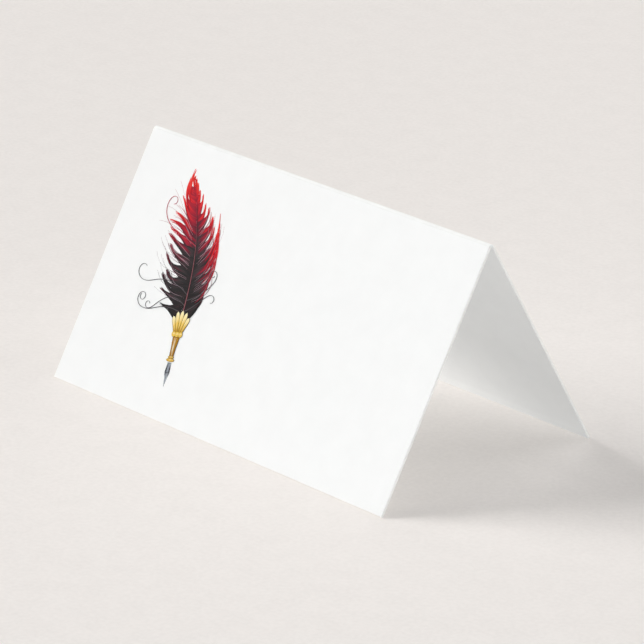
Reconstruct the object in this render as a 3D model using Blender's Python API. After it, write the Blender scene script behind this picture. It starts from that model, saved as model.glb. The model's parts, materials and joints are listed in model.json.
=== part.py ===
"""A folded place card: one sheet of heavy card creased across its middle so that it stands as a tent.

The sheet is three pieces in one: two stiff panels and the soft strip of creased fibres between them,
which is the hinge. A quill pen is printed on the front panel, as three thin films of ink.
Metres, +Z up. The card stands on its two long edges, with the origin on the table under the fold.
"""

import math

import bmesh
import bpy
from mathutils import Matrix, Vector

MM = 0.001

# The sheet, and how it is folded
CARD_WIDTH = 88.9 * MM  # along the fold
PANEL_HEIGHT = 50.8 * MM  # half of the flat sheet, from the middle of the crease to the foot
CARD_THICKNESS = 0.45 * MM
FOLD_ANGLE = math.radians(61.2)  # between the two panels, as the card stands
FOLD_INNER_RADIUS = 0.2 * MM
PANEL_CLEARANCE = 0.3 * MM  # between the creased strip and each panel

# The print, and where it lies on the front panel
INK_THICKNESS = 0.03 * MM
INK_CLEARANCE = 0.02 * MM  # between the card's face and the ink
PRINT_TOP_MARGIN = 5.9 * MM  # from the feather's tip to the middle of the crease
PRINT_FOOT_MARGIN = 6.2 * MM  # from the nib's point to the foot
NIB_FROM_LEFT = 27.8 * MM

# The quill, at the size it was drawn; the print is scaled to fit between its margins.
# Places along the pen are distances from the nib's point, and across it are half widths.
PEN_LEAN = math.radians(9.5)  # to the left, going up
NIB_LENGTH = 4.6 * MM
NIB_SHOULDER = 2.6 * MM
NIB_HALF_WIDTH = 0.65 * MM
NIB_HEEL_HALF_WIDTH = 0.45 * MM
FILM_CLEARANCE = 0.15 * MM  # between one colour of ink and the next
HOLDER_FOOT_HALF_WIDTH = 1.0 * MM
HOLDER_WAIST = 6.4 * MM
HOLDER_WAIST_HALF_WIDTH = 0.7 * MM
COLLAR_FOOT = 9.6 * MM
COLLAR_FOOT_HALF_WIDTH = 1.0 * MM
COLLAR_TOP = 13.6 * MM
COLLAR_HALF_WIDTH = 2.2 * MM
COLLAR_CROWN = 0.9 * MM  # how far its rounded top rises in the middle
FEATHER_TIP = Vector((-13.0, 38.7)) * MM  # from the nib's point
FEATHER_BOW = 9.0 * MM  # how far the quill runs on straight before it bends over
FEATHER_TIP_PULL = 12.0 * MM  # the same at the tip, along the tip's own lean
FEATHER_TIP_LEAN = math.radians(36.0)
LEFT_VANE_WIDTH = 5.4 * MM
RIGHT_VANE_WIDTH = 4.6 * MM
VANE_STATIONS = 28
CROWN_STATIONS = 8
FOLD_STATIONS = 24


def clear_scene():
    for thing in list(bpy.data.objects):
        bpy.data.objects.remove(thing)


def finish(name, colour, roughness, metallic=0.0):
    material = bpy.data.materials.new(name)
    material.use_nodes = True
    shader = material.node_tree.nodes["Principled BSDF"]
    shader.inputs["Base Color"].default_value = (*colour, 1.0)
    shader.inputs["Roughness"].default_value = roughness
    shader.inputs["Metallic"].default_value = metallic
    material.diffuse_color = (*colour, 1.0)
    return material


def frame_at(name, matrix):
    empty = bpy.data.objects.new(name, None)
    bpy.context.scene.collection.objects.link(empty)
    empty.matrix_world = matrix
    return empty


def place(name, mesh, parent, material):
    piece = bpy.data.objects.new(name, mesh)
    bpy.context.scene.collection.objects.link(piece)
    piece.parent = parent
    if material.name not in mesh.materials:
        mesh.materials.append(material)
    return piece


def slab(name, outline, low, high):
    """A flat closed body: the outline, a list of (x, y), between two heights along z."""
    bm = bmesh.new()
    base = bm.faces.new([bm.verts.new((x, y, low)) for x, y in outline])
    grown = bmesh.ops.extrude_face_region(bm, geom=[base])["geom"]
    top = [v for v in grown if isinstance(v, bmesh.types.BMVert)]
    bmesh.ops.translate(bm, verts=top, vec=(0, 0, high - low))
    bmesh.ops.recalc_face_normals(bm, faces=bm.faces)
    mesh = bpy.data.meshes.new(name)
    bm.to_mesh(mesh)
    bm.free()
    return mesh


# The fold. A panel's own frame has its origin on the hinge axis, X along the fold,
# Y up the panel and Z out of its outer face.

def neutral_half_arc():
    """Half of the crease's length, along the middle of the card's thickness."""
    bend = math.pi - FOLD_ANGLE
    return (FOLD_INNER_RADIUS + CARD_THICKNESS / 2) * bend / 2


def flat_length():
    """The flat part of a panel, from where the crease ends to the foot."""
    return PANEL_HEIGHT - neutral_half_arc()


def hinge_height():
    """The panels stand on the inner corners of their feet."""
    half = FOLD_ANGLE / 2
    return flat_length() * math.cos(half) - FOLD_INNER_RADIUS * math.sin(half)


def panel_frames():
    axis = Matrix.Translation((0, 0, hinge_height()))
    tilt = Matrix.Rotation(math.pi / 2 - FOLD_ANGLE / 2, 4, "X")
    turn_round = Matrix.Rotation(math.pi, 4, "Z")
    front = frame_at("front_frame", axis @ tilt)
    back = frame_at("fold_axis", axis @ turn_round @ tilt)
    return front, back


def panel_mesh(name):
    side = CARD_WIDTH / 2
    foot, head = -flat_length(), -PANEL_CLEARANCE
    outline = [(-side, foot), (side, foot), (side, head), (-side, head)]
    return slab(name, outline, FOLD_INNER_RADIUS, FOLD_INNER_RADIUS + CARD_THICKNESS)


def fold_mesh():
    """The crease: a ring sector about the hinge axis, as long as the card is wide."""
    bend = math.pi - FOLD_ANGLE
    angles = [bend * (i / FOLD_STATIONS - 0.5) for i in range(FOLD_STATIONS + 1)]
    inner, outer = FOLD_INNER_RADIUS, FOLD_INNER_RADIUS + CARD_THICKNESS
    outside = [(outer * math.sin(a), outer * math.cos(a)) for a in angles]
    inside = [(inner * math.sin(a), inner * math.cos(a)) for a in reversed(angles)]
    mesh = slab("fold_strip", outside + inside, -CARD_WIDTH / 2, CARD_WIDTH / 2)
    # the slab was drawn across the fold: its x runs from front to back, y up and z along the fold
    mesh.transform(Matrix(((0, 0, 1, 0), (1, 0, 0, 0), (0, 1, 0, 0), (0, 0, 0, 1))))
    return mesh


# The print. An outline is worked out from the nib's point, X to the right and Y up the panel.

def pen_point(along, across):
    up = Vector((-math.sin(PEN_LEAN), math.cos(PEN_LEAN)))
    right = Vector((math.cos(PEN_LEAN), math.sin(PEN_LEAN)))
    return up * along + right * across


def both_sides(halves, point=None):
    """An outline that is the same on both sides of the pen, from (along, half width) pairs."""
    right = [pen_point(along, half) for along, half in halves]
    left = [pen_point(along, -half) for along, half in reversed(halves)]
    return ([point] if point else []) + right + left


def nib_outline():
    halves = [(NIB_SHOULDER, NIB_HALF_WIDTH), (NIB_LENGTH, NIB_HEEL_HALF_WIDTH)]
    return both_sides(halves, point=pen_point(0, 0))


def ferrule_outline():
    halves = [
        (NIB_LENGTH + FILM_CLEARANCE, HOLDER_FOOT_HALF_WIDTH),
        (HOLDER_WAIST, HOLDER_WAIST_HALF_WIDTH),
        (COLLAR_FOOT, COLLAR_FOOT_HALF_WIDTH),
    ]
    for i in range(CROWN_STATIONS):
        across = math.cos(math.pi / 2 * i / CROWN_STATIONS)
        halves.append((collar_top(across), COLLAR_HALF_WIDTH * across))
    return both_sides(halves)


def collar_top(across):
    """The height of the collar's rounded top, across from 0 in the middle to 1 at its corner."""
    return COLLAR_TOP + COLLAR_CROWN * math.sqrt(max(0.0, 1 - across**2))


def quill_point(t):
    """The feather's middle line, a cubic curve from the collar at t = 0 to the tip at t = 1."""
    tip_way = Vector((-math.sin(FEATHER_TIP_LEAN), math.cos(FEATHER_TIP_LEAN)))
    start = pen_point(COLLAR_TOP + COLLAR_CROWN + FILM_CLEARANCE, 0)
    bend = start + pen_point(FEATHER_BOW, 0)
    pull = FEATHER_TIP - tip_way * FEATHER_TIP_PULL
    s = 1 - t
    return start * s**3 + bend * 3 * s * s * t + pull * 3 * s * t * t + FEATHER_TIP * t**3


def vane_edge(side, width):
    """One edge of the feather, from the collar to the tip: side is 1 on the right and -1 on the left."""
    edge = []
    for i in range(1, VANE_STATIONS):
        t = i / VANE_STATIONS
        along = quill_point(t + 0.01) - quill_point(t - 0.01)
        across = Vector((along.y, -along.x)).normalized()
        edge.append(quill_point(t) + across * side * width * math.sin(math.pi * t**0.8) ** 0.7)
    return edge


def feather_outline():
    right = vane_edge(1, RIGHT_VANE_WIDTH)
    left = vane_edge(-1, LEFT_VANE_WIDTH)
    return [quill_point(0), *right, quill_point(1), *reversed(left)]


def ink_mesh(name, outline):
    scale = (PANEL_HEIGHT - PRINT_TOP_MARGIN - PRINT_FOOT_MARGIN) / FEATHER_TIP.y
    nib_point = Vector((NIB_FROM_LEFT - CARD_WIDTH / 2, PRINT_FOOT_MARGIN - flat_length()))
    low = FOLD_INNER_RADIUS + CARD_THICKNESS + INK_CLEARANCE
    return slab(name, [nib_point + p * scale for p in outline], low, low + INK_THICKNESS)


def build():
    clear_scene()
    white_card = finish("white_card", (0.90, 0.89, 0.87), 0.85)
    crease = finish("creased_card", (0.86, 0.85, 0.83), 0.9)
    red_ink = finish("feather_ink", (0.30, 0.01, 0.02), 0.5)
    gold_ink = finish("gold_ink", (0.55, 0.33, 0.06), 0.45)
    grey_ink = finish("steel_grey_ink", (0.22, 0.23, 0.25), 0.45)

    front, back = panel_frames()
    place("front_panel", panel_mesh("front_panel"), front, white_card)
    place("back_panel", panel_mesh("back_panel"), back, white_card)

    level = frame_at("crease_frame", Matrix.Translation((0, 0, hinge_height())))
    strip = place("fold_strip", fold_mesh(), level, crease)
    strip.data.shade_smooth()
    strip.data.set_sharp_from_angle(angle=math.radians(30))

    place("ink_feather", ink_mesh("ink_feather", feather_outline()), front, red_ink)
    place("ink_ferrule", ink_mesh("ink_ferrule", ferrule_outline()), front, gold_ink)
    place("ink_nib", ink_mesh("ink_nib", nib_outline()), front, grey_ink)


build()
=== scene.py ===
# %% [markdown]
# # A folded place card with a printed quill
#
# The object is one sheet of heavy white card, creased across its middle so that it stands as a tent. A quill
# pen is printed at the left of its front panel. There is nothing else: so the picture depends on three quiet
# things, which are how the card takes the light, how its cut edges and its crease are finished, and how fine
# the printing is.
#
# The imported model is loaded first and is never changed. It says where the two panels, the crease and the
# areas of ink are, and every piece below is placed from it.

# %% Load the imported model
import json
import math
import random

import bpy
import numpy as np
from mathutils import Matrix, Vector, noise


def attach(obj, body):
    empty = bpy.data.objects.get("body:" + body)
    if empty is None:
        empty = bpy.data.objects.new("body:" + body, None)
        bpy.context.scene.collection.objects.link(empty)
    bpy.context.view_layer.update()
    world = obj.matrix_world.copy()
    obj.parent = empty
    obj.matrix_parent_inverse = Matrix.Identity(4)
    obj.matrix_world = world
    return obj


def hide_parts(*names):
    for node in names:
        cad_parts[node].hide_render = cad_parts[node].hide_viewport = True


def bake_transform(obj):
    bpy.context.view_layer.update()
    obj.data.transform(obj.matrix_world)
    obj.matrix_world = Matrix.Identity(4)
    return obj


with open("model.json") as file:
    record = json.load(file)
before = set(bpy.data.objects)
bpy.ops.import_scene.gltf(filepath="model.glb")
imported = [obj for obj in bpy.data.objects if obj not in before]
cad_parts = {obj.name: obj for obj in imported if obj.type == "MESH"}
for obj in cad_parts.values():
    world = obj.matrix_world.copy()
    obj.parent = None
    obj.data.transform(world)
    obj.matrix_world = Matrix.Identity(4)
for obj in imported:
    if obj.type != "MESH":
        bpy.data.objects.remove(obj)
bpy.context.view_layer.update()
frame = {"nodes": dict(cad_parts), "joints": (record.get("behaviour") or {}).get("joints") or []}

MM = 0.001

# %% [markdown]
# ## The camera and the light
#
# A card this small is best seen from close to a metre with a long lens, so its edges stay almost parallel.
# The camera is made before the pieces, as its place doesn't depend on them.
#
# White card on a pale table needs very little contrast. A window stands to the left and a little in front,
# as two soft lamps. The high one lights the front panel. The low one reaches in under the tent, and leaves a
# bright patch along the foot of the back panel. A third lamp is a weaker window overhead, behind the card.
# These three cast the shadows. The fills cast none, so the inside of the tent stays grey and not black: they
# stand for the light off the ceiling, off the floor in front, and off the wall at the right, which is what
# shows the card's cut edges.

# %% Camera
CAMERA_AT = Vector((510.2, -474.7, 288.4)) * MM
CAMERA_LOOKS_AT = Vector((-3.5, 4.5, 14.7)) * MM
LENS = 228.4  # millimetres
SENSOR_WIDTH = 36.0  # millimetres
NEAREST = 0.01  # metres, closer than anything in the picture

camera = bpy.data.objects.new("camera", bpy.data.cameras.new("camera"))
bpy.context.scene.collection.objects.link(camera)
camera.location = CAMERA_AT
camera.rotation_euler = (CAMERA_LOOKS_AT - CAMERA_AT).to_track_quat("-Z", "Y").to_euler()
camera.data.lens = LENS
camera.data.sensor_width = SENSOR_WIDTH
camera.data.clip_start = NEAREST
bpy.context.scene.camera = camera
print("camera to card, mm:", round((CAMERA_AT - CAMERA_LOOKS_AT).length / MM))


# %% A helper for colours
def linear(hex_colour):
    """An sRGB colour such as '#F0EEEA' as the linear numbers that Blender works in."""
    parts = [int(hex_colour[i:i + 2], 16) / 255 for i in (1, 3, 5)]
    return (*[c / 12.92 if c <= 0.04045 else ((c + 0.055) / 1.055) ** 2.4 for c in parts], 1.0)


# %% Far lamps
LAMPS = [  # name, the way to it, strength, colour, how many degrees wide it looks, and if it casts a shadow
    ("window_high", (-0.657, -0.395, 0.643), 1.25, "#FFFEFD", 24.0, True),
    ("window_low", (-0.868, -0.442, 0.225), 1.65, "#FFFEFD", 20.0, True),
    ("ceiling_window", (0.1, 0.5, 0.85), 0.89, "#FFFFFF", 60.0, True),
    ("ceiling_fill", (0.1, 0.5, 0.85), 0.98, "#FFFFFF", 60.0, False),
    ("wall_fill", (1.0, 0.0, 0.0), 0.4, "#FFFFFF", 10.0, False),
]

for name, way, strength, colour, spread, shadow in LAMPS:
    made = bpy.data.objects.new(name, bpy.data.lights.new(name, "SUN"))
    bpy.context.scene.collection.objects.link(made)
    made.rotation_euler = Vector(way).to_track_quat("Z", "Y").to_euler()
    made.data.energy = strength
    made.data.angle = math.radians(spread)
    made.data.use_shadow = shadow
    made.data.cycles.cast_shadow = shadow
    made.data.cycles.use_multiple_importance_sampling = shadow
    made.data.color = linear(colour)[:3]
    print(name, "is", round(math.degrees(math.asin(Vector(way).normalized().z))), "degrees up")

# %% The light off the floor in front
FLOOR_FILL_AT = Vector((1.06, -0.90, 0.24))
FLOOR_FILL_SIZE = 0.6
FLOOR_FILL_POWER = 4.3
FLOOR_FILL_COLOUR = (0.76, 0.89, 0.98)  # linear

floor_fill = bpy.data.objects.new("floor_fill", bpy.data.lights.new("floor_fill", "AREA"))
bpy.context.scene.collection.objects.link(floor_fill)
floor_fill.location = FLOOR_FILL_AT
floor_fill.rotation_euler = FLOOR_FILL_AT.to_track_quat("Z", "Y").to_euler()
floor_fill.visible_camera = False
floor_fill.data.shape = "DISK"
floor_fill.data.size = FLOOR_FILL_SIZE
floor_fill.data.energy = FLOOR_FILL_POWER
floor_fill.data.color = FLOOR_FILL_COLOUR
floor_fill.data.use_shadow = False
floor_fill.data.cycles.cast_shadow = False
floor_fill.data.cycles.use_multiple_importance_sampling = False

bpy.context.scene.view_settings.view_transform = "Standard"
print("floor fill, m away:", round(FLOOR_FILL_AT.length, 2))

# %% [markdown]
# ## How a material is written here
#
# Each material is a small tree of nodes that ends in the Principled shader, which glTF can carry too. One
# function adds a node, sets its fields, and joins its inputs to the outputs given.
# Patterns take their size from a real length: a noise of scale s repeats about every 1 / s metres.

# %% Helpers for materials
def join(tree, node, inputs):
    """Sets a node's inputs: each is given as a number, a colour or another node's output."""
    for name, value in inputs.items():
        if isinstance(value, bpy.types.NodeSocket):
            tree.links.new(value, node.inputs[name])
        else:
            node.inputs[name].default_value = value


def add(tree, kind, fields=None, inputs=None, stops=()):
    """Adds a node. Stops, for a node that has a colour ramp, are (place, hex colour) pairs."""
    node = tree.nodes.new("ShaderNode" + kind)
    for name, value in (fields or {}).items():
        setattr(node, name, value)
    join(tree, node, inputs or {})
    for i, (place, colour) in enumerate(stops):
        band = node.color_ramp.elements
        element = band[i] if i < len(band) else band.new(place)
        element.position = place
        element.color = linear(colour)
    return node


def per_size(millimetres):
    """The noise scale at which the pattern repeats about every so many millimetres."""
    return 1 / (millimetres * MM)


def new_material(name):
    """A material, its tree, and the shader that the tree ends in."""
    material = bpy.data.materials.new(name)
    material.use_nodes = True
    return material, material.node_tree, material.node_tree.nodes["Principled BSDF"]


print("a pattern of 1 mm has scale", per_size(1.0))

# %% [markdown]
# ## The room
#
# The walls give a weak, even glow from all round, which keeps the shadows soft. Low down, where the table
# ends, the room is as pale as the table, so that no dark horizon stands behind the card when it is seen from
# the side. The glow is worked out from the way a ray of light goes: its Z is the sine of its height.

# %% White room
ROOM_GLOW = 0.10
HORIZON_GLOW = 0.80
HORIZON_TOP = (0.04, 0.10)  # the heights between which the pale band fades out, as sines

world = bpy.data.worlds.new("white_room")
bpy.context.scene.world = world
world.use_nodes = True
tree = world.node_tree
height = add(tree, "SeparateXYZ", inputs={0: add(tree, "TexCoord").outputs["Generated"]})
glow = add(tree, "MapRange", {"interpolation_type": "SMOOTHSTEP"}, {
    "Value": height.outputs["Z"], "From Min": HORIZON_TOP[0], "From Max": HORIZON_TOP[1],
    "To Min": HORIZON_GLOW, "To Max": ROOM_GLOW})
join(tree, tree.nodes["Background"], {"Color": linear("#FFFFFF"), "Strength": glow.outputs["Result"]})
print("room glow:", ROOM_GLOW)

# %% [markdown]
# ## The table
#
# The card stands on a pale, warm, matt surface, like painted board. It has a very faint cloudiness, which is
# worth drawing, because a perfectly even floor makes a white card look pasted on. It is part of the setting
# and not of the object.

# %% Painted board
TABLE_SIDE = 9.0
CLOUD_SIZE = 5.0  # mm, the soft blotches left by a roller
STIPPLE_SIZE = 0.9  # mm, the fine stipple of the paint
STIPPLE_DEPTH = 0.004 * MM
CLOUD_SHARE = 0.6
BOARD_TONES = [(0.45, "#E3DEDA"), (1.0, "#E9E4E0")]
BOARD_ROUGHNESS = 0.8

painted_board, tree, shader = new_material("painted_board")
spot = add(tree, "TexCoord").outputs["Object"]
cloud = add(tree, "TexNoise", inputs={"Vector": spot, "Scale": per_size(CLOUD_SIZE), "Detail": 3.0})
stipple = add(tree, "TexNoise", inputs={"Vector": spot, "Scale": per_size(STIPPLE_SIZE), "Detail": 2.0})
both = add(tree, "Math", {"operation": "MULTIPLY_ADD"},
           {0: cloud.outputs["Fac"], 1: CLOUD_SHARE, 2: stipple.outputs["Fac"]})
shade = add(tree, "ValToRGB", inputs={"Fac": both.outputs[0]}, stops=BOARD_TONES)
relief = add(tree, "Bump", inputs={"Height": stipple.outputs["Fac"], "Distance": STIPPLE_DEPTH})
join(tree, shader, {"Base Color": shade.outputs["Color"], "Roughness": BOARD_ROUGHNESS,
                    "Normal": relief.outputs["Normal"]})

table_mesh = bpy.data.meshes.new("table_top")
half_side = TABLE_SIDE / 2
table_mesh.from_pydata([(-half_side, -half_side, 0), (half_side, -half_side, 0),
                        (half_side, half_side, 0), (-half_side, half_side, 0)], [], [(0, 1, 2, 3)])
table_mesh.materials.append(painted_board)
table_top = bpy.data.objects.new("table_top", table_mesh)
bpy.context.scene.collection.objects.link(table_top)
print("table:", TABLE_SIDE, "m square")

# %% [markdown]
# ## Where the panels lie
#
# Each panel is easiest to draw lying flat: X along the fold, Y up the panel and Z out of its outer face,
# with the origin on the hinge axis. The fold joint says where that axis is, and how far the tent is open,
# since its lower limit is the card shut. Turning a panel's CAD corners into that flat frame gives its sizes.

# %% The flat frame of each panel
fold = frame["joints"][0]
HINGE = Vector(fold["pos_m"])
FOLD_ANGLE = math.radians(-fold["range_deg"][0])
lean_back = Matrix.Rotation(math.pi / 2 - FOLD_ANGLE / 2, 4, "X")
front_frame = Matrix.Translation(HINGE) @ lean_back
back_frame = Matrix.Translation(HINGE) @ Matrix.Rotation(math.pi, 4, "Z") @ lean_back


def flat_corners(node, panel_frame):
    """A CAD node's corners in a panel's flat frame."""
    to_flat = panel_frame.inverted()
    return [to_flat @ v.co for v in frame["nodes"][node].data.vertices]


corners = flat_corners("front_panel", front_frame)
SIDE = max(c.x for c in corners)
FOOT = min(c.y for c in corners)
INNER = min(c.z for c in corners)
OUTER = max(c.z for c in corners)
THICKNESS = OUTER - INNER
print("fold, degrees:", round(math.degrees(FOLD_ANGLE), 1))
print("panel, mm:", round(2 * SIDE / MM, 2), "x", round(-FOOT / MM, 2), "x", round(THICKNESS / MM, 3))

# %% [markdown]
# ## The card
#
# Place cards are cut from uncoated white card of about 350 g/m2. Uncoated card is bare cellulose fibre: it
# scatters light almost evenly, so it has no gloss to speak of, and under raking light it shows a fine tooth,
# like an eggshell. Fibres are some 0.03 mm wide and 1 to 2 mm long, and gather in tufts of a few tenths of a
# millimetre, which is the smallest thing a camera sees at this distance. The tooth is drawn at that size.
# Held at an angle the sheet is also a little cloudy, over about 4 mm, from the way the pulp settled.

# %% Uncoated white card
TUFT_SIZE = 0.34  # mm
SETTLING_SIZE = 4.0  # mm
TOOTH_DEPTH = 0.0035 * MM
TOOTH_SHARE = 0.5  # of the tone, beside the settling
CARD_ROUGHNESS = 0.92
CARD_SPECULAR = 0.35


def uncoated_card(name, bright, dull, tooth_depth, stretch=(1.0, 1.0, 1.0)):
    """Card fibre. stretch is below 1 along the way that the tufts are drawn out."""
    material, tree, shader = new_material(name)
    spot = add(tree, "TexCoord").outputs["Object"]
    drawn = add(tree, "Mapping", inputs={"Vector": spot, "Scale": stretch}).outputs["Vector"]
    tooth = add(tree, "TexNoise", inputs={"Vector": drawn, "Scale": per_size(TUFT_SIZE), "Detail": 3.0,
                                          "Roughness": 0.6})
    cloud = add(tree, "TexNoise", inputs={"Vector": spot, "Scale": per_size(SETTLING_SIZE), "Detail": 2.0})
    mixed = add(tree, "Math", {"operation": "MULTIPLY_ADD"},
                {0: tooth.outputs["Fac"], 1: TOOTH_SHARE, 2: cloud.outputs["Fac"]})
    shade = add(tree, "ValToRGB", inputs={"Fac": mixed.outputs[0]}, stops=[(0.55, dull), (0.95, bright)])
    relief = add(tree, "Bump", inputs={"Height": tooth.outputs["Fac"], "Distance": tooth_depth})
    join(tree, shader, {"Base Color": shade.outputs["Color"], "Roughness": CARD_ROUGHNESS,
                        "Specular IOR Level": CARD_SPECULAR, "Normal": relief.outputs["Normal"]})
    return material


card_face = uncoated_card("uncoated_white_card", "#F8F8F7", "#F6F6F5", TOOTH_DEPTH)
print("tooth:", TUFT_SIZE, "mm across,", round(TOOTH_DEPTH / MM, 4), "mm deep")

# %% [markdown]
# A guillotine cuts a stack from above. The blade rounds each sheet's upper edge a little and drags the lower
# one, and between them the cut shows the layered fibres of the core, drawn out along the edge. So the cut
# edge is a separate material, and the shape of the edge is drawn as a few rings, each a little further in.

# %% Cut edge, and the rings that shape it
LAYER_DEPTH = 0.012 * MM
cut_edge = uncoated_card("cut_card_edge", "#FBFAF8", "#F4F2EE", LAYER_DEPTH, stretch=(0.25, 0.25, 3.0))
EDGE_RINGS = [  # share of the thickness from the inner face, and how far in from the cut, mm
    (0.00, 0.022), (0.05, 0.004), (0.12, 0.000), (0.72, 0.000),
    (0.86, 0.012), (0.95, 0.036), (1.00, 0.075),
]
rings = [(INNER + share * THICKNESS, inset * MM) for share, inset in EDGE_RINGS]
LEAF_HEAD = -0.02 * MM  # just short of the hinge axis, so that the two leaves don't meet when laid flat
SHARP_ANGLE = math.radians(50)


def panel_leaf(name, panel_frame):
    """One flat panel, from its foot to where the crease begins, with three cut edges."""
    points, faces = [], []
    for height, inset in rings:
        side, foot = SIDE - inset, FOOT + inset
        points += [(x, y, height) for x, y in ((-side, LEAF_HEAD), (-side, foot),
                                               (side, foot), (side, LEAF_HEAD))]
    for ring in range(len(rings) - 1):
        for corner in range(4):
            a, b = 4 * ring + corner, 4 * ring + (corner + 1) % 4
            faces.append((a, b, b + 4, a + 4))
    top = 4 * (len(rings) - 1)
    faces += [(3, 2, 1, 0), (top, top + 1, top + 2, top + 3)]
    mesh = bpy.data.meshes.new(name)
    mesh.from_pydata([panel_frame @ Vector(p) for p in points], [], faces)
    mesh.materials.append(card_face)
    mesh.materials.append(cut_edge)
    for face in mesh.polygons[:-2]:
        face.material_index = 1
    mesh.set_sharp_from_angle(angle=SHARP_ANGLE)
    for face in mesh.polygons[-2:]:
        face.use_smooth = False  # else the rounded edges would bend the light over the whole panel
    leaf = bpy.data.objects.new(name, mesh)
    bpy.context.scene.collection.objects.link(leaf)
    return leaf


# %% The two panels
front_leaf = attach(panel_leaf("front_leaf", front_frame), "front")
back_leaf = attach(panel_leaf("back_leaf", back_frame), "back")
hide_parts("front_panel")
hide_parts("back_panel")
for leaf in (front_leaf, back_leaf):
    print(leaf.name, "faces:", len(leaf.data.polygons))

# %% [markdown]
# ## The crease
#
# Before heavy card is folded, a blunt rule is pressed along the line to loosen the layers. Folding then
# stretches the outer fibres and bunches the inner ones, so the outside of a crease is a small round bend
# with a slightly broken surface, never a knife edge. Here it is the panels' own end section, swept round the
# hinge axis. A little noise in its radius keeps the line of the fold from being ruler-straight.
#
# The crease is the one piece that changes shape when the card is opened or shut. Its first edge lies where
# the front panel ends and its last edge where the back panel ends.

# %% Creased card
CRACK_DEPTH = 0.010 * MM
# The creased card is a little greyer than the panels' card: this is painted shade along the fold.
creased_card = uncoated_card("creased_card", "#F7F7F5", "#F0F0EE", CRACK_DEPTH, stretch=(0.4, 1.0, 1.0))
BEND_STEPS = 24
CELLS_ALONG = 120
BREAK_DEPTH = 0.018 * MM  # how uneven the bend is
BREAK_LENGTH = 2.2  # mm, between one high spot and the next
BREAKS_ROUND = 3  # how many high spots there are round the bend


def end_section():
    """The panel's section where the crease begins: (x, height) round it, from the inner face."""
    xs = [SIDE * (2 * i / CELLS_ALONG - 1) for i in range(1, CELLS_ALONG)]
    right = [(SIDE - inset, height) for height, inset in rings]
    left = [(-x, height) for x, height in reversed(right)]
    return [(x, INNER) for x in xs] + right + [(x, OUTER) for x in reversed(xs)] + left


def crease_point(x, height, share):
    """A point of the swept section; share runs from 0 at the front panel to 1 at the back."""
    bend = math.pi - FOLD_ANGLE
    angle = bend * (share - 0.5)
    unevenness = noise.noise(Vector((x / (BREAK_LENGTH * MM), BREAKS_ROUND * share, 0.5)))
    radius = height + BREAK_DEPTH * unevenness * math.sin(math.pi * share) ** 2
    return HINGE + Vector((x, radius * math.sin(angle), radius * math.cos(angle)))


section = end_section()
count = len(section)
rows = BEND_STEPS + 3  # round the bend, and one more where each leaf ends
points = [front_frame @ Vector((x, LEAF_HEAD, height)) for x, height in section]
points += [crease_point(x, height, step / BEND_STEPS)
           for step in range(BEND_STEPS + 1) for x, height in section]
points += [back_frame @ Vector((-x, LEAF_HEAD, height)) for x, height in section]
faces = [(step * count + i, step * count + (i + 1) % count,
          (step + 1) * count + (i + 1) % count, (step + 1) * count + i)
         for step in range(rows - 1) for i in range(count)]
faces += [tuple(reversed(range(count))), tuple(range((rows - 1) * count, rows * count))]
print("points round the section:", count, "and rows round the bend:", rows)

# %% The crease, swept
crease_mesh = bpy.data.meshes.new("crease")
crease_mesh.from_pydata(points, [], faces)
crease_mesh.materials.append(creased_card)
crease_mesh.shade_smooth()
crease_mesh.set_sharp_from_angle(angle=SHARP_ANGLE)
crease = bpy.data.objects.new("crease", crease_mesh)
bpy.context.scene.collection.objects.link(crease)
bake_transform(crease)
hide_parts("fold_strip")
print("crease, mm round:", round((math.pi - FOLD_ANGLE) * OUTER / MM, 2), "faces:", len(faces))

# %% [markdown]
# ## The print
#
# The quill is printed in ink, which lies on the card as a film a few hundredths of a millimetre thick. It
# could be painted by a shader, but a drawing with hundreds of fine barbs is much clearer as shapes. So each
# barb is a strand, which is a path with a width at every point, made as a thin closed slab. A strand that
# overlaps another lies a hair above it, as layers of ink do.
#
# The drawing has its own frame, in millimetres: the origin is the nib's point, X is to the right and Y is up
# the panel. The CAD's areas of ink give its place and its scale.

# %% The drawing's frame
DRAWN_TIP = Vector((-13.0, 38.7))  # the feather's tip, as it is drawn
nib_point = min(flat_corners("ink_nib", front_frame), key=lambda c: c.y)
feather_tip = max(flat_corners("ink_feather", front_frame), key=lambda c: c.y)
PRINT_SCALE = (feather_tip.y - nib_point.y) / DRAWN_TIP.y
INK_FOOT = 0.001 * MM  # the underside of the ink, above the card
INK_STEP = 0.0012 * MM  # from one layer of ink to the next
TIP_WIDTH = 0.03  # mm, the finest line that is printed
print("print scale:", round(PRINT_SCALE / MM, 4))


# %% A strand of ink, and a film of many strands
def inked(width):
    """A strand's width, no finer than the finest line."""
    return max(TIP_WIDTH, width)


def within(tone):
    """A tone kept between 0 and 1."""
    return min(1, max(0, tone))


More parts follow.
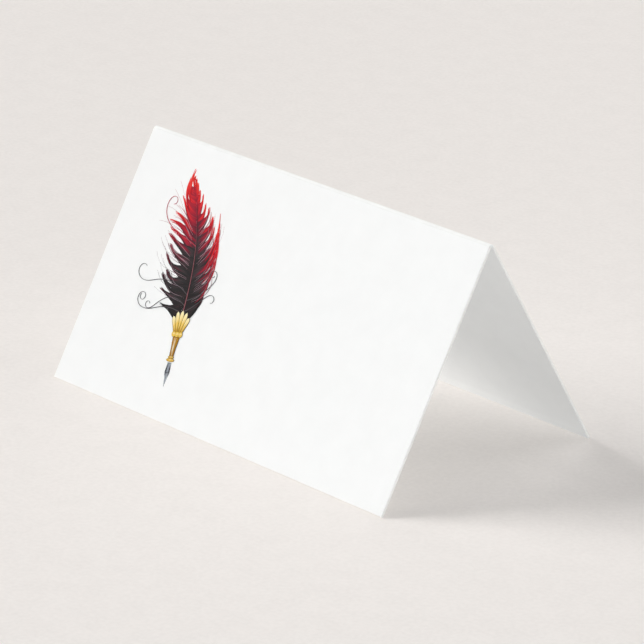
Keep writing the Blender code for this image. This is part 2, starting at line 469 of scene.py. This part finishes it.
class Film:
    """Gathers strands of one ink, and makes them one piece."""

    def __init__(self):
        self.points, self.faces, self.across, self.along, self.shade, self.out = [], [], [], [], [], []

    def strand(self, path, widths, layer, along, shade=0.5):
        """path and widths in mm; along is the tone at each point; shade is the strand's own."""
        first = len(self.points)
        last = len(path) - 1
        for i, (p, width) in enumerate(zip(path, widths)):
            way = (path[min(i + 1, last)] - path[max(i - 1, 0)]).normalized()
            side = Vector((way.y, -way.x)) * width / 2
            low, high = OUTER + INK_FOOT, OUTER + INK_FOOT + INK_STEP * (layer + 1)
            for edge, height in ((p - side, low), (p + side, low), (p + side, high), (p - side, high)):
                self.points.append((*(nib_point.xy + edge * PRINT_SCALE), height))
            self.across += [0.0, 1.0, 1.0, 0.0]
            self.along += [along[i]] * 4
            self.out += [i / last] * 4
            self.shade += [shade] * 4
        for i in range(last):
            a, b = first + 4 * i, first + 4 * i + 4
            self.faces += [(a + 3, a + 2, b + 2, b + 3), (a, b, b + 1, a + 1),
                           (a + 1, b + 1, b + 2, a + 2), (a, a + 3, b + 3, b)]
        end = first + 4 * last
        self.faces += [(first, first + 1, first + 2, first + 3), (end + 1, end, end + 3, end + 2)]

    def piece(self, name, ink, slot, replaced=()):
        """Makes the film's object, on the front panel."""
        mesh = bpy.data.meshes.new(name)
        mesh.from_pydata([front_frame @ Vector(p) for p in self.points], [], self.faces)
        corner = np.empty(len(mesh.loops), int)
        mesh.loops.foreach_get("vertex_index", corner)
        for map_name, u, v in (("tone", self.along, self.shade), ("strand", self.out, self.across)):
            pairs = np.column_stack([np.array(u)[corner], np.array(v)[corner]])
            mesh.uv_layers.new(name=map_name).data.foreach_set("uv", pairs.ravel())
        mesh.materials.append(ink)
        made = bpy.data.objects.new(name, mesh)
        bpy.context.scene.collection.objects.link(made)
        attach(made, "front")
        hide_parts(*replaced)
        print(name, "strand faces:", len(self.faces))


# %% [markdown]
# ## Inks
#
# The inks are matt to satin, since uncoated card drinks most of the oil. Each strand carries two maps.
# "tone" says where on the drawing it is, from 0 at the dark end to 1 at the bright end, and gives every
# strand its own shade. "strand" says how far along and across the strand a point is, which places streaks
# and glints. A glint is the light line that wet ink leaves down the middle of a stroke.

# %% One way to make every ink
INK_ROUGHNESS = 0.7
INK_SPECULAR = 0.12
STREAK_STRETCH = 1.5  # along a strand
STREAK_SCALE = 1.6
OWN_PATTERN = 40.0  # sets each strand's streaks in another part of the noise
GLINT_FROM, GLINT_FULL = 0.45, 0.75  # how strong a streak is where a glint starts, and where it is full


def printing_ink(name, tones, glint, glint_share, streaks, uneven, glint_at=0.5, glint_width=0.35):
    """tones is the ramp along the drawing, glint the colour of the light line down each strand."""
    material, tree, shader = new_material(name)
    tone = add(tree, "SeparateXYZ", inputs={0: add(tree, "UVMap", {"uv_map": "tone"}).outputs[0]})
    strand = add(tree, "UVMap", {"uv_map": "strand"}).outputs[0]
    split = add(tree, "SeparateXYZ", inputs={0: strand})
    hair = add(tree, "Mapping", inputs={"Vector": strand, "Scale": (STREAK_STRETCH, streaks, 1.0)})
    apart = add(tree, "Math", {"operation": "MULTIPLY"}, {0: tone.outputs["Y"], 1: OWN_PATTERN})
    step_aside = add(tree, "CombineXYZ", inputs={"Z": apart.outputs[0]})
    moved = add(tree, "VectorMath", {"operation": "ADD"},
                {0: hair.outputs["Vector"], 1: step_aside.outputs[0]})
    streak = add(tree, "TexNoise", inputs={"Vector": moved.outputs[0], "Scale": STREAK_SCALE, "Detail": 2.0})
    wander = add(tree, "Math", {"operation": "SUBTRACT"}, {0: streak.outputs["Fac"], 1: 0.5})
    own = add(tree, "Math", {"operation": "SUBTRACT"}, {0: tone.outputs["Y"], 1: 0.5})
    both = add(tree, "Math", {"operation": "ADD"}, {0: wander.outputs[0], 1: own.outputs[0]})
    place = add(tree, "Math", {"operation": "MULTIPLY_ADD"},
                {0: both.outputs[0], 1: uneven, 2: tone.outputs["X"]})
    base = add(tree, "ValToRGB", inputs={"Fac": place.outputs[0]}, stops=tones)
    off = add(tree, "Math", {"operation": "SUBTRACT"}, {0: split.outputs["Y"], 1: glint_at})
    away = add(tree, "Math", {"operation": "ABSOLUTE"}, {0: off.outputs[0]})
    near = add(tree, "MapRange", {"interpolation_type": "SMOOTHSTEP"}, {
        "Value": away.outputs[0], "From Min": 0.0, "From Max": glint_width, "To Min": 1.0, "To Max": 0.0})
    middle = add(tree, "MapRange", {"interpolation_type": "SMOOTHSTEP"}, {
        "Value": streak.outputs["Fac"], "From Min": GLINT_FROM, "From Max": GLINT_FULL,
        "To Min": 0.0, "To Max": glint_share})
    share = add(tree, "Math", {"operation": "MULTIPLY"}, {0: near.outputs[0], 1: middle.outputs[0]})
    lit = add(tree, "Mix", {"data_type": "RGBA"},
              {0: share.outputs[0], 6: base.outputs["Color"], 7: linear(glint)})
    spot = add(tree, "TexCoord").outputs["Object"]
    tooth = add(tree, "TexNoise", inputs={"Vector": spot, "Scale": per_size(TUFT_SIZE), "Detail": 3.0})
    relief = add(tree, "Bump", inputs={"Height": tooth.outputs["Fac"], "Distance": TOOTH_DEPTH})
    join(tree, shader, {"Base Color": lit.outputs[2], "Roughness": INK_ROUGHNESS,
                        "Specular IOR Level": INK_SPECULAR, "Normal": relief.outputs["Normal"]})
    return material


print("ink roughness:", INK_ROUGHNESS)

# %% The inks
FEATHER_TONES = [(0.0, "#161617"), (0.22, "#232223"), (0.36, "#382F32"), (0.44, "#561729"),
                 (0.58, "#90132B"), (0.74, "#C01A2A"), (0.88, "#DE2229"), (1.0, "#EA3A30")]
HAIR_TONES = [(0.0, "#4A484A"), (0.35, "#5A4A50"), (0.6, "#8A3040"), (1.0, "#C4384A")]
RIM_TONES = [(0.0, "#77727A"), (0.5, "#B0808A"), (1.0, "#E0908C")]
QUILL_TONES = [(0.0, "#9A6A70"), (0.5, "#B5525A"), (1.0, "#5A1420")]
GOLD_TONES = [(0.0, "#6E430C"), (0.35, "#B07C1A"), (0.65, "#E6BE48"), (1.0, "#FBF3C4")]
DARK_GOLD_TONES = [(0.0, "#3A2206"), (1.0, "#7C4E12")]
STEEL_TONES = [(0.0, "#30353C"), (0.5, "#8A9098"), (1.0, "#B9BEC4")]
LINE_TONES = [(0.0, "#101012"), (1.0, "#26262A")]
barb_ink = printing_ink("red_and_black_ink", FEATHER_TONES, "#B8606A", 0.16, 3.0, 0.16)
hair_ink = printing_ink("fine_line_ink", HAIR_TONES, "#8A8686", 0.2, 2.0, 0.05)
rim_ink = printing_ink("pale_line_ink", RIM_TONES, "#E8C8C8", 0.3, 2.0, 0.10)
quill_ink = printing_ink("quill_ink", QUILL_TONES, "#F0C8C4", 0.6, 2.0, 0.10)
gold_ink = printing_ink("gold_ink", GOLD_TONES, "#FFF8D8", 0.7, 2.0, 0.20, glint_at=0.4)
dark_gold_ink = printing_ink("dark_gold_ink", DARK_GOLD_TONES, "#B98A30", 0.3, 2.0, 0.1)
steel_ink = printing_ink("steel_grey_ink", STEEL_TONES, "#F2F4F6", 0.9, 2.0, 0.15,
                         glint_at=0.68, glint_width=0.3)
line_ink = printing_ink("black_line_ink", LINE_TONES, "#3A3A3E", 0.2, 2.0, 0.05)
print("inks:", len([m for m in bpy.data.materials if m.name.endswith("ink")]))

# %% [markdown]
# ## Drawing the pen's line
#
# Everything hangs on one line. The nib, the holder and the collar stand on a straight axis that leans a
# little to the left, and the feather's quill carries on from it, bowing over to the tip. The bow is a cubic
# curve, which leaves the axis along it and arrives at the tip leaning well over.

# %% The pen's axis and the quill
PEN_LEAN = math.radians(9.5)
NIB_LENGTH = 4.6
COLLAR_FOOT = 9.6
COLLAR_TOP = 14.3
QUILL_BOW = 9.0
TIP_LEAN = math.radians(36.0)
TIP_PULL = 12.0


def turned(vector, angle):
    """The vector turned to the left by an angle in radians."""
    c, s = math.cos(angle), math.sin(angle)
    return Vector((c * vector.x - s * vector.y, s * vector.x + c * vector.y))


def pen_point(along, across=0.0):
    """A point of the pen's straight axis, or beside it."""
    return turned(Vector((across, along)), PEN_LEAN)


def quill_point(t):
    """A point of the quill: t is 0 at the collar and 1 at the feather's tip."""
    start, bow = pen_point(COLLAR_TOP), pen_point(COLLAR_TOP + QUILL_BOW)
    pull = DRAWN_TIP - turned(Vector((0, TIP_PULL)), TIP_LEAN)
    s = 1 - t
    return start * s**3 + bow * 3 * s * s * t + pull * 3 * s * t * t + DRAWN_TIP * t**3


def quill_way(t):
    return (quill_point(t + 0.01) - quill_point(t - 0.01)).normalized()


def between(stops, t):
    """The value at t on a smooth line through a few (place, value) pairs."""
    for (t0, v0), (t1, v1) in zip(stops, stops[1:]):
        if t <= t1:
            share = (t - t0) / (t1 - t0)
            return v0 + (v1 - v0) * share * share * (3 - 2 * share)
    return stops[-1][1]


def walk(start, way, length, first_turn, last_turn, steps):
    """A path that leaves start turned by first_turn from way, and ends turned by last_turn, in degrees."""
    path = [start]
    for i in range(steps):
        share = (i + 0.5) / steps
        heading = turned(way, math.radians(first_turn + (last_turn - first_turn) * share))
        path.append(path[-1] + heading * length / steps)
    return path


print("quill length, mm:", round(sum((quill_point((i + 1) / 50) - quill_point(i / 50)).length
                                     for i in range(50)), 1))

# %% [markdown]
# ## Barbs
#
# A feather's vane is a row of barbs, zipped together side by side. Where the zip has opened, the barbs part
# into locks, and each lock gathers to a point. That is the look to draw: the barbs of one lock leave the
# quill side by side and run together at their tips, and the gaps between locks show the card. On the right
# the locks lie close and follow the quill. On the left they fall outwards, and at the top they sweep up into
# one flame.
#
# A vane is described by where its locks end, measured from their roots on the quill, and by how far they
# turn from the quill's way as they leave it and as they arrive, in degrees. Each is given at a few places
# along the quill, and blended between them.

# %% The two vanes
RIGHT_VANE = {
    "side": -1, "lift": 0.0, "locks": 16, "spread": 0.08, "fan": 0.10,
    "ends_at": [(0, Vector((3.0, 4.6))), (0.10, Vector((3.6, 8.2))), (0.3, Vector((3.0, 8.6))),
                (0.5, Vector((1.6, 6.8))), (0.68, Vector((-0.5, 5.0))), (0.85, Vector((-1.5, 3.2))),
                (1, Vector((0.0, 0.1)))],
    "leaves": [(0, 76), (0.2, 50), (0.6, 34), (0.8, 22), (1, 4)],
    "arrives": [(0, -18), (0.3, -8), (0.55, -4), (0.8, 0), (1, 30)],
}
LEFT_VANE = {
    "side": 1, "lift": 0.5, "locks": 15, "spread": 0.09, "fan": 0.12,
    "ends_at": [(0, Vector((-7.0, 0.0))), (0.12, Vector((-8.6, 2.2))), (0.3, Vector((-9.4, 3.8))),
                (0.5, Vector((-9.6, 3.4))), (0.6, Vector((-8.0, 4.0))), (0.67, Vector((-7.2, 6.4))),
                (0.73, Vector((-5.6, 7.2))), (0.82, Vector((-3.6, 5.9))), (0.92, Vector((-1.4, 2.4))),
                (1, Vector((0.0, 0.1)))],
    "leaves": [(0, 78), (0.3, 44), (0.6, 48), (0.8, 46), (1, 4)],
    "arrives": [(0, 80), (0.15, 20), (0.3, 30), (0.5, 74), (0.6, 50), (0.7, -34), (1, -56)],
}
FIRST_ROOT, LAST_ROOT = -0.05, 0.93  # along the quill; the first is inside the collar
print("locks:", RIGHT_VANE["locks"], "on the right,", LEFT_VANE["locks"], "on the left")

# %% The path of a lock
BARB_STEPS = 18
BEND_PULL = 0.42  # of the distance between a path's ends


def swept(start, leaving, end, arriving, steps):
    """A path that bends from one way to another: a cubic curve with equal pulls at its two ends."""
    pull = (end - start).length * BEND_PULL
    first, second = start + leaving * pull, end - arriving * pull
    path = []
    for i in range(steps + 1):
        t, s = i / steps, 1 - i / steps
        path.append(start * s**3 + first * 3 * s * s * t + second * 3 * s * t * t + end * t**3)
    return path


def lock_path(vane, root, reach=1.0, shift=Vector((0, 0))):
    """The middle of a lock that is rooted on the quill, with reach the share of its full length."""
    way = quill_way(root)
    leaving = turned(way, math.radians(vane["side"] * between(vane["leaves"], root)))
    arriving = turned(way, math.radians(vane["side"] * between(vane["arrives"], root)))
    end = quill_point(root) + between(vane["ends_at"], root) * reach + shift
    return swept(quill_point(root), leaving, end, arriving, BARB_STEPS)


print("one lock's length, mm:", round((lock_path(RIGHT_VANE, 0.5)[-1] - quill_point(0.5)).length, 1))

# %% The width and the tone of a barb
BARB_WIDTH = 0.27
BLACK_BELOW, RED_ABOVE = 11.5, 38.5  # heights in the drawing
REDDENING = 0.36  # from a barb's root to its end
ROOT_TONE = -0.21  # a barb's root is darker than its height alone would make it


def barb_widths(width):
    """A barb is narrow where it leaves the quill, and tapers for its last half."""
    shares = [i / BARB_STEPS for i in range(BARB_STEPS + 1)]
    return [inked(width * (0.6 + 0.4 * min(1, 4 * share)) * (1 - share**2.6) ** 0.9) for share in shares]


def tone_at(point, out):
    """Black at the feather's foot, then crimson, and red at its top; each barb reddens as it runs out."""
    height = (point.y - BLACK_BELOW) / (RED_ABOVE - BLACK_BELOW)
    return height + REDDENING * out + ROOT_TONE


print("tone at the tip:", round(tone_at(DRAWN_TIP, 0), 2))

# %% Drawing the vanes
draw = random.Random(5)
BARBS_IN_LOCK = 18
LAYERS_IN_LOCK = 4
OWN_TONE = 0.08  # how far one lock's tone may be from the next
ROUNDING = 0.17  # the upper side of a lock catches the light
UNDERSIDE = 0.18  # and its lower side turns under


def draw_lock(film, vane, root, layer, reach, shift):
    """Barbs rooted side by side, which run together at the lock's end."""
    own = draw.uniform(-OWN_TONE, OWN_TONE)
    for i in range(BARBS_IN_LOCK):
        place = 2 * i / (BARBS_IN_LOCK - 1) - 1
        start = min(0.97, root + vane["spread"] * place)
        path = lock_path(vane, root, reach * (1 - 0.10 * place**2 - draw.uniform(0, 0.05)), shift)
        moved = quill_point(start) - path[0]
        fan = Vector((draw.gauss(0, vane["fan"]), draw.gauss(0, vane["fan"])))
        roll = ROUNDING * math.cos(math.pi * (place - 0.25)) - (UNDERSIDE if place < -0.8 else 0)
        tones = []
        for k in range(BARB_STEPS + 1):
            out = k / BARB_STEPS
            path[k] = path[k] + moved * (1 - out) ** 1.5 + fan * out
            tones.append(within(tone_at(path[k], out) + own + roll * math.sin(math.pi * out)))
        height = layer + i % LAYERS_IN_LOCK + vane["lift"]
        film.strand(path, barb_widths(BARB_WIDTH), height, tones, draw.random())


def draw_vane(film, vane):
    """From the feather's tip down, so that each lock overlaps the next one up."""
    count = vane["locks"]
    for lock in reversed(range(count)):
        share = (lock + draw.uniform(0.3, 0.7)) / count
        root = FIRST_ROOT + (LAST_ROOT - FIRST_ROOT) * share
        layer = LAYERS_IN_LOCK * (count - 1 - lock)
        shift = Vector((draw.gauss(0, 0.3), draw.gauss(0, 0.3))) * (1 - share)
        draw_lock(film, vane, root, layer, 1 - draw.uniform(0, 0.12), shift)


right_vane, left_vane = Film(), Film()
draw_vane(right_vane, RIGHT_VANE)
draw_vane(left_vane, LEFT_VANE)
right_vane.piece("feather_right_vane", barb_ink, "feather_ink", ["ink_feather"])
left_vane.piece("feather_left_vane", barb_ink, "feather_ink", ["ink_feather"])
TOP_LAYER = LAYERS_IN_LOCK * (1 + max(RIGHT_VANE["locks"], LEFT_VANE["locks"]))  # above both vanes

# %% [markdown]
# ## Rims, quill, loose hairs and curls
#
# Where a lock's edge catches the light it shows as a pale line. The quill is a pale, tapering line with dark
# borders. Round the vanes, single hairs have come loose, and at the foot some of the down curls: a curl is a
# path whose turning tightens as it goes.

# %% Pale rims
RIM_WIDTH = 0.07
RIMS_ON_A_VANE = 18
RIM_FROM = 3  # how many steps of its path a rim leaves out, by the quill
RIM_TONE = 0.15  # lighter than the barbs under it

rim_film = Film()
for vane in (RIGHT_VANE, LEFT_VANE):
    for i in range(RIMS_ON_A_VANE):
        root, reach = draw.uniform(0.02, 0.62), draw.uniform(0.72, 0.98)
        shift = Vector((draw.gauss(0, 0.5), draw.gauss(0, 0.5)))
        path = lock_path(vane, root, reach, shift)[RIM_FROM:]
        last = len(path) - 1
        widths = [inked(RIM_WIDTH * math.sin(math.pi * k / last) ** 0.5) for k in range(last + 1)]
        tones = [within(tone_at(p, 0) + RIM_TONE) for p in path]
        rim_film.strand(path, widths, TOP_LAYER, tones, draw.random())
rim_film.piece("feather_rims", rim_ink, "feather_ink")

# %% Quill
QUILL_STEPS = 40
QUILL_ENDS_AT = 0.8
QUILL_LINES = [(0.26, TOP_LAYER + 1, 1.0), (0.13, TOP_LAYER + 2, 0.1)]  # width, layer and tone

quill_film = Film()
path = [quill_point(QUILL_ENDS_AT * i / QUILL_STEPS) for i in range(QUILL_STEPS + 1)]
for width, layer, tone in QUILL_LINES:
    widths = [inked(width * (1 - 0.9 * i / QUILL_STEPS)) for i in range(QUILL_STEPS + 1)]
    quill_film.strand(path, widths, layer, [tone] * (QUILL_STEPS + 1))
quill_film.piece("feather_quill", quill_ink, "feather_ink")

# %% Loose hairs
HAIR_WIDTH = 0.10
HAIR_OUT = 0.6  # hairs have the tone of barbs this far out

hair_film = Film()
for vane, hairs, longest in ((RIGHT_VANE, 10, 1.06), (LEFT_VANE, 20, 1.22)):
    for i in range(hairs):
        root = draw.uniform(0.0, 0.72)
        shift = Vector((draw.gauss(0, 0.6), draw.gauss(0, 0.8)))
        path = lock_path(vane, root, draw.uniform(1.0, longest), shift)
        widths = [inked(HAIR_WIDTH * (1 - k / BARB_STEPS)) for k in range(BARB_STEPS + 1)]
        tones = [within(tone_at(p, HAIR_OUT)) for p in path]
        hair_film.strand(path, widths, 0, tones, draw.random())
hair_film.piece("feather_loose_hairs", hair_ink, "feather_ink")

# %% Red streamers, long barbs that have come free of the right vane
STREAMERS = 6
STREAMER_WIDTH = 0.26
STREAMER_FROM = 5  # steps left out by the quill, as for the rims

streamer_film = Film()
for i in range(STREAMERS):
    share = i / (STREAMERS - 1)
    shift = Vector((-0.3 - 1.8 * share, 1.6 + 2.4 * share))
    path = lock_path(RIGHT_VANE, 0.03 + 0.24 * share, 1.0, shift)[STREAMER_FROM:]
    last = len(path) - 1
    widths = [inked(STREAMER_WIDTH * math.sin(math.pi * (k / last) ** 0.8) ** 0.8) for k in range(last + 1)]
    tones = [within(0.46 + 0.3 * share + 0.3 * k / last) for k in range(last + 1)]
    streamer_film.strand(path, widths, TOP_LAYER, tones, draw.random())
streamer_film.piece("feather_streamers", barb_ink, "feather_ink")

# %% Curls
CURL_STEPS = 60
CURL_WIDTH = 0.16
CURL_TAPER = 0.65
CURLS = [  # root on the quill, the way it leaves, length, its rate of turning from root to tip, and tone
    (-0.02, 66, 19.0, [(0, 90), (0.35, 110), (0.5, -200), (1, -1750)], 0.05),
    (0.04, 56, 13.0, [(0, 60), (0.4, 180), (0.6, 60), (1, -1500)], 0.05),
    (0.12, 54, 18.0, [(0, 60), (0.5, 110), (0.7, -300), (1, -1100)], 0.05),
    (0.08, -74, 12.5, [(0, 60), (0.45, 60), (1, 1300)], 0.05),
    (0.00, -70, 9.5, [(0, 80), (0.5, 0), (1, -900)], 0.05),
    (0.50, 46, 18.0, [(0, 90), (0.45, -100), (0.7, -300), (1, -1500)], 0.9),
]

curl_film = Film()
for root, leaves, length, turns, tone in CURLS:
    path, heading = [quill_point(root)], turned(quill_way(root), math.radians(leaves))
    for i in range(CURL_STEPS):
        share = (i + 0.5) / CURL_STEPS
        heading = turned(heading, math.radians(between(turns, share)) / CURL_STEPS)
        path.append(path[-1] + heading * length / CURL_STEPS)
    widths = [CURL_WIDTH * (1 - CURL_TAPER * i / CURL_STEPS) for i in range(CURL_STEPS + 1)]
    curl_film.strand(path, widths, TOP_LAYER, [tone] * (CURL_STEPS + 1), 0.5)
curl_film.piece("feather_curls", hair_ink, "feather_ink")

# %% [markdown]
# ## Collar, holder and nib
#
# The pen's metal is drawn on its axis: a fluted gold collar that grips the feather, a slim turned holder,
# and a split steel nib. Under each bright strand lies a dark one, a little wider, which shows round it as a
# thin outline.

# %% Collar
OUTLINE = 0.07
FLUTES = 5
FLUTE_STEPS = 14
FLUTE_LENGTH = 5.2
FLUTE_FAN = math.radians(8.125)  # from one flute to the next
FLUTE_CURL = 5  # degrees, how far a flute bends outwards, for each one from the middle
FLUTE_APART = 0.24  # at the foot
FLUTE_FOOT, FLUTE_TOP = 0.42, 1.08  # widths
ROUND_FROM = 0.72  # the share of its length where a flute's round end begins
SHORTER_OUT = 0.045  # the outer flutes are shorter


def flute_widths():
    """A flute widens from foot to top, and its end is round."""
    widths = []
    for i in range(FLUTE_STEPS + 1):
        share = i / FLUTE_STEPS
        width = FLUTE_FOOT + (FLUTE_TOP - FLUTE_FOOT) * share
        past = max(0.0, (share - ROUND_FROM) / (1 - ROUND_FROM))
        widths.append(inked(width * math.sqrt(1 - past**2)))
    return widths


gold_film, dark_film = Film(), Film()
for flute in range(FLUTES):
    place = flute - (FLUTES - 1) / 2
    start = pen_point(COLLAR_FOOT - 0.3, FLUTE_APART * place)
    way = turned(Vector((0, 1)), PEN_LEAN - FLUTE_FAN * place)
    length = FLUTE_LENGTH * (1 - SHORTER_OUT * place**2)
    path = walk(start, way, length, 0, -FLUTE_CURL * place, FLUTE_STEPS)
    tones = [0.25 + 0.75 * (i / FLUTE_STEPS) for i in range(FLUTE_STEPS + 1)]
    layer = TOP_LAYER + 5 + 2 * (flute % 2)
    dark_film.strand(path, [w + OUTLINE for w in flute_widths()], layer - 1, [0.3] * (FLUTE_STEPS + 1))
    gold_film.strand(path, [inked(w - OUTLINE) for w in flute_widths()], layer, tones, 0.5)
print("flutes:", FLUTES)

# %% Holder
HOLDER_STEPS = 20
HOLDER_HALF_WIDTHS = [(0, 0.50), (0.12, 0.48), (0.4, 0.54), (0.8, 0.74), (1.0, 0.86)]
HOLDER_FOOT, HOLDER_LENGTH = NIB_LENGTH + 0.5, COLLAR_FOOT - NIB_LENGTH - 0.4

shares = [i / HOLDER_STEPS for i in range(HOLDER_STEPS + 1)]
path = [pen_point(HOLDER_FOOT + HOLDER_LENGTH * share) for share in shares]
half_widths = [between(HOLDER_HALF_WIDTHS, share) for share in shares]
dark_film.strand(path, [2 * w + OUTLINE for w in half_widths], TOP_LAYER + 2, [0.2] * len(path))
gold_film.strand(path, [2 * w - OUTLINE for w in half_widths], TOP_LAYER + 3,
                 [0.18 + 0.16 * share for share in shares], 0.6)
print("holder, mm:", round(HOLDER_LENGTH, 1))

# %% Rings and beads
RING_STEPS = 10
BEAD = 0.52
BEADS_APART = 0.85
RINGS = [  # place on the axis, half width, height, layer, tone, and place across
    (COLLAR_FOOT + 0.35, BEAD, 2 * BEAD, TOP_LAYER + 9, 0.62, -BEADS_APART),
    (COLLAR_FOOT + 0.35, BEAD, 2 * BEAD, TOP_LAYER + 9, 0.62, BEADS_APART),
    (COLLAR_FOOT + 0.35, BEAD, 2 * BEAD, TOP_LAYER + 11, 0.62, 0.0),
    (NIB_LENGTH + 1.0, 0.72, 0.45, TOP_LAYER + 5, 0.45, 0.0),
    (NIB_LENGTH + 0.45, 1.0, 0.6, TOP_LAYER + 7, 0.5, 0.0),
]

for along, half_width, high, layer, tone, middle in RINGS:
    places = [2 * i / RING_STEPS - 1 for i in range(RING_STEPS + 1)]
    path = [pen_point(along, middle + half_width * place) for place in places]
    widths = [inked(high * math.sqrt(1 - place**2)) for place in places]
    dark_film.strand(path, [w + OUTLINE for w in widths], layer, [0.1] * len(path))
    gold_film.strand(path, widths, layer + 1, [tone] * len(path), 0.7)
dark_film.piece("ferrule_outline", dark_gold_ink, "gold_ink")
gold_film.piece("ferrule_gold", gold_ink, "gold_ink", ["ink_ferrule"])

# %% Nib
NIB_STEPS = 18
NIB_HALF_WIDTHS = [(0, 0.02), (0.3, 0.26), (0.58, 0.64), (0.8, 0.55), (1.0, 0.46)]

nib_film, nib_lines = Film(), Film()
shares = [i / NIB_STEPS for i in range(NIB_STEPS + 1)]
path = [pen_point(NIB_LENGTH * share) for share in shares]
half_widths = [between(NIB_HALF_WIDTHS, share) for share in shares]
nib_lines.strand(path, [2 * w + OUTLINE / 2 for w in half_widths], 0, [0.5] * len(path))
nib_film.strand(path, [2 * w for w in half_widths], 1, [0.9 - 0.5 * share for share in shares], 0.5)
nib_film.piece("nib_steel", steel_ink, "steel_grey_ink", ["ink_nib"])

# %% The lines on the nib: its slit, its dark shoulders and its eye
LINE_STEPS = 8
SLIT_WIDTH = 0.05
MARK_WIDTH = 0.3
SHOULDER_ACROSS, SHOULDER_BOW = 0.28, 0.12

shares = [i / LINE_STEPS for i in range(LINE_STEPS + 1)]
swells = [math.sin(math.pi * share) for share in shares]
leaf_widths = [inked(MARK_WIDTH * swell) for swell in swells]
nib_lines.strand([pen_point(0.1 + 2.6 * share) for share in shares],
                 [SLIT_WIDTH] * len(shares), 3, [0.2] * len(shares))
for side in (-1, 1):
    shoulder = [pen_point(2.0 + 2.2 * share, side * (SHOULDER_ACROSS + SHOULDER_BOW * swell))
                for share, swell in zip(shares, swells)]
    nib_lines.strand(shoulder, leaf_widths, 3, [0.9] * len(shares))
nib_lines.strand([pen_point(2.5 + 0.36 * share) for share in shares], leaf_widths, 4, [0.2] * len(shares))
nib_lines.piece("nib_lines", line_ink, "steel_grey_ink")
